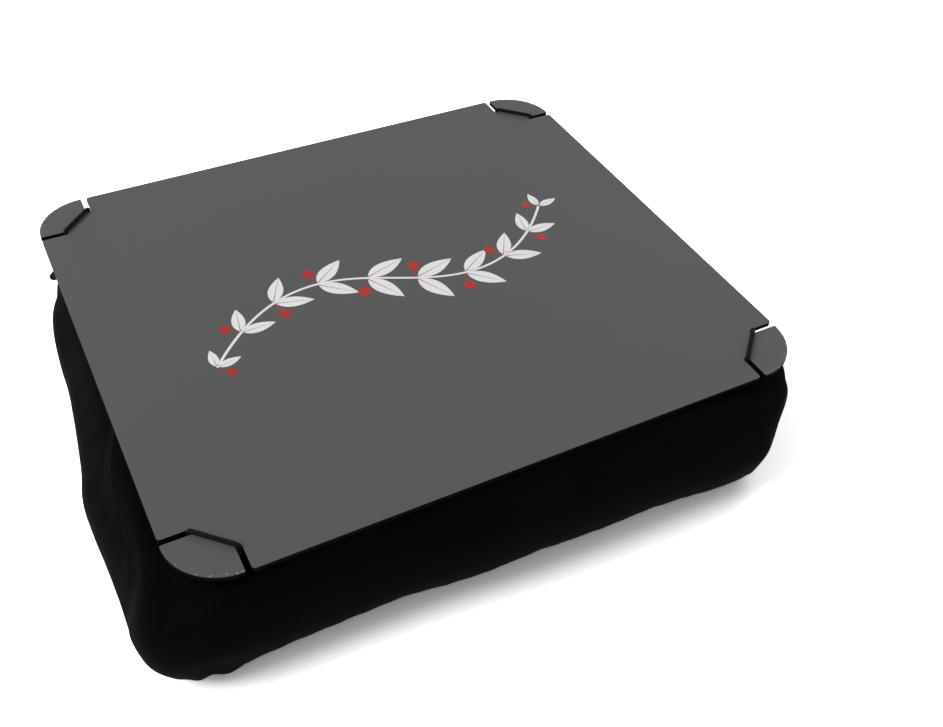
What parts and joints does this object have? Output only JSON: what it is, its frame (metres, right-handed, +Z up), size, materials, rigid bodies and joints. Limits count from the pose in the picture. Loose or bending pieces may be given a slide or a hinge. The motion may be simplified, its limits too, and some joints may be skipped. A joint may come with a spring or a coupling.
{
  "type": "lap tray with cushion",
  "caption": "Lap tray: a thin board with rounded, slit corners, held on a stuffed box cushion by an elastic loop over each corner; the cushion's cover closes with a zipper.",
  "frame": {"origin": "on the floor, at the middle of the cushion's flat underside, below the board's centre", "axes": "+X to the user's right along the board's length, +Y away from the user to the zipper, +Z up"},
  "size_m": [0.4294, 0.3912, 0.0883],
  "materials": {
    "board_core": "dark fibreboard",
    "board_film": "satin dark grey film",
    "elastic_cord": "black braided elastic",
    "cover_suede": "black brushed suede cloth",
    "zipper_tape": "black woven tape",
    "zipper_teeth": "black nylon",
    "zipper_metal": "black enamel",
    "zipper_pull": "black moulded pull",
    "bag_cloth": "white nonwoven cloth",
    "fibre": "white fibre"
  },
  "bodies": {
    "cushion": {"cover_bottom_panel": "cover_suede", "cover_top_panel": "cover_suede", "cover_side_band": "cover_suede", "cover_zip_band_upper": "cover_suede", "cover_zip_band_lower": "cover_suede", "zipper_tape_upper": "zipper_tape", "zipper_tape_lower": "zipper_tape", "zipper_teeth_upper": "zipper_teeth", "zipper_teeth_lower": "zipper_teeth", "zipper_top_stops": "zipper_metal", "zipper_bottom_stop": "zipper_metal", "inner_bag": "bag_cloth", "fibre_fill": "fibre", "elastic_front_left": "elastic_cord", "elastic_front_right": "elastic_cord", "elastic_back_left": "elastic_cord", "elastic_back_right": "elastic_cord"},
    "board": {"tray_board": "board_core", "top_film": "board_film"},
    "slider": {"zipper_slider": "zipper_metal"},
    "pull": {"zipper_pull": "zipper_pull"}
  },
  "joints": [
    {"name": "board_lift", "type": "slide", "parent": "cushion", "child": "board", "axis": [0, 0, 1], "range_m": [0, 0.025], "stiffness_N_per_m": 300, "springref_m": -0.01, "deforming": ["elastic_front_left", "elastic_front_right", "elastic_back_left", "elastic_back_right"]},
    {"name": "zipper_travel", "type": "slide", "parent": "cushion", "child": "slider", "axis": [1, 0, 0], "range_m": [0, 0.32]},
    {"name": "pull_swing", "type": "hinge", "parent": "slider", "child": "pull", "pos_m": [-0.16015, 0.19445, 0.038], "axis": [0, 0, -1], "range_deg": [0, 180]}
  ]
}
